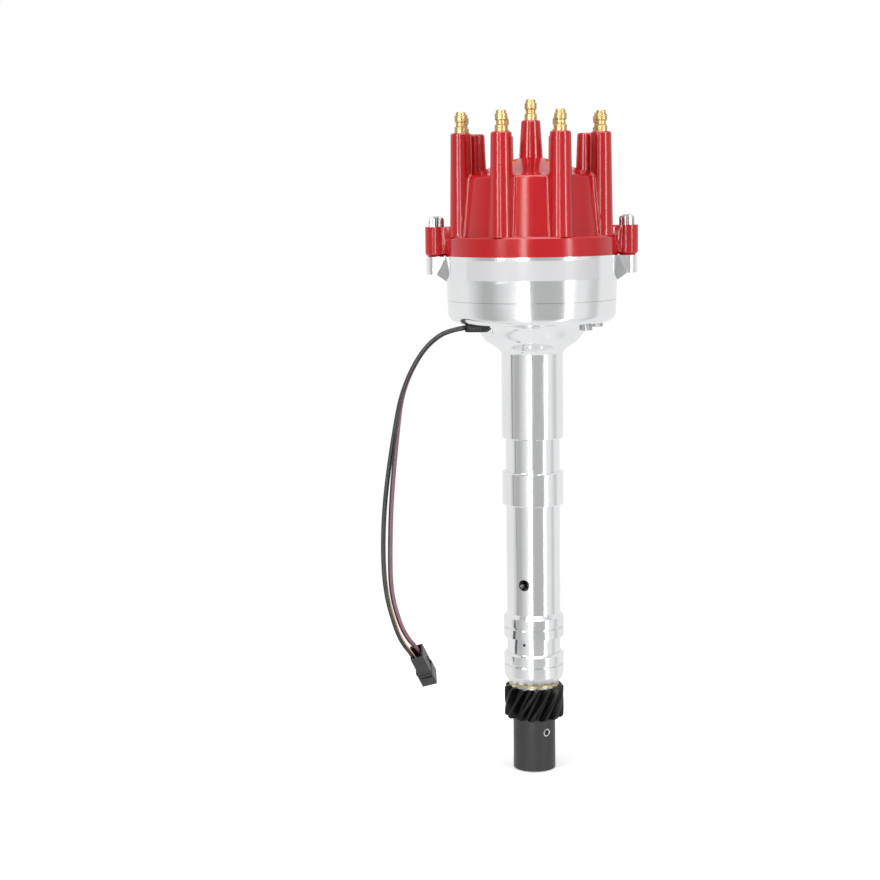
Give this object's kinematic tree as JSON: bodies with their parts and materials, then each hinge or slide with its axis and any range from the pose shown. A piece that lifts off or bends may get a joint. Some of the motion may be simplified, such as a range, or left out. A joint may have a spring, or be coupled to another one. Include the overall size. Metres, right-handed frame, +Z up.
{
  "type": "ignition distributor",
  "caption": "Engine ignition distributor with a polished housing, red male-terminal cap, helical drive gear, mechanical advance and magnetic pickup leads",
  "frame": {"origin": "on the shaft axis at the middle of the clamp neck", "axes": "+Z up the shaft towards the coil terminal, +X towards the right-hand cap screw, -Y the front where the pickup wires leave"},
  "size_m": [0.1362, 0.0906, 0.3584],
  "materials": {
    "billet_aluminium": "polished",
    "red_moulding": "gloss",
    "brass": "polished",
    "bright_steel": "polished",
    "bronze": "satin",
    "black_oxide_steel": "satin",
    "plated_steel": "satin",
    "rotor_moulding": "gloss",
    "black_rubber": "matte",
    "black_orange_insulation": "satin",
    "violet_black_insulation": "satin",
    "black_nylon": "matte",
    "ferrite": "matte",
    "carbon": "matte"
  },
  "bodies": {
    "housing": {"housing": "billet_aluminium", "distributor_cap": "red_moulding", "tower_terminals": "brass", "coil_terminal": "brass", "post_inserts": "brass", "connector_contacts": "brass", "cap_screws": "bright_steel", "pickup_screws": "bright_steel", "bearing_snap_ring": "bright_steel", "bearing_outer_race": "bright_steel", "bearing_shields": "bright_steel", "brush_spring": "bright_steel", "lower_bushing": "bronze", "pickup_pole": "plated_steel", "pickup_bracket": "plated_steel", "wire_grommet": "black_rubber", "orange_wire": "black_orange_insulation", "violet_wire": "violet_black_insulation", "connector_shell": "black_nylon", "pickup_coil": "black_nylon", "pickup_leads": "black_nylon", "pickup_magnet": "ferrite"},
    "shaft": {"main_shaft": "bright_steel", "shaft_clip": "bright_steel", "drive_gear": "black_oxide_steel", "gear_roll_pin": "bright_steel", "thrust_washer": "bronze", "thrust_shim": "bright_steel", "bearing_inner_race": "bright_steel", "advance_cam": "plated_steel", "stop_bushing": "black_nylon"},
    "advance": {"advance_plate": "plated_steel", "weight_clips": "bright_steel", "reluctor": "plated_steel", "reluctor_pin": "bright_steel", "rotor": "rotor_moulding", "rotor_contact": "brass", "rotor_screws": "bright_steel", "advance_springs": "bright_steel"},
    "weight_front": {"weight_front": "plated_steel"},
    "weight_rear": {"weight_rear": "plated_steel"},
    "carbon_brush": {"carbon_brush": "carbon"}
  },
  "joints": [
    {"name": "shaft_spin", "type": "hinge", "parent": "housing", "child": "shaft", "pos_m": [0, 0, 0], "axis": [0, 0, -1], "continuous": true},
    {"name": "advance", "type": "hinge", "parent": "shaft", "child": "advance", "pos_m": [0, 0, 0], "axis": [0, 0, -1], "range_deg": [0, 14], "stiffness_Nm_per_rad": 0.05, "springref_deg": -17.19, "deforming": ["advance_springs"]},
    {"name": "weight_front_swing", "type": "hinge", "parent": "advance", "child": "weight_front", "pos_m": [0, -0.017, 0.0688], "axis": [0, 0, -1], "range_deg": [0, 22.4]},
    {"name": "weight_rear_swing", "type": "hinge", "parent": "advance", "child": "weight_rear", "pos_m": [0, 0.017, 0.0688], "axis": [0, 0, -1], "range_deg": [0, 22.4]},
    {"name": "brush_slide", "type": "slide", "parent": "housing", "child": "carbon_brush", "axis": [0, 0, 1], "range_m": [0, 0.0015], "stiffness_N_per_m": 200, "springref_m": -0.003, "deforming": ["brush_spring"]}
  ],
  "couplings": [
    {"joint": "weight_front_swing", "follows": "advance", "ratio": 1.6},
    {"joint": "weight_rear_swing", "follows": "advance", "ratio": 1.6}
  ]
}
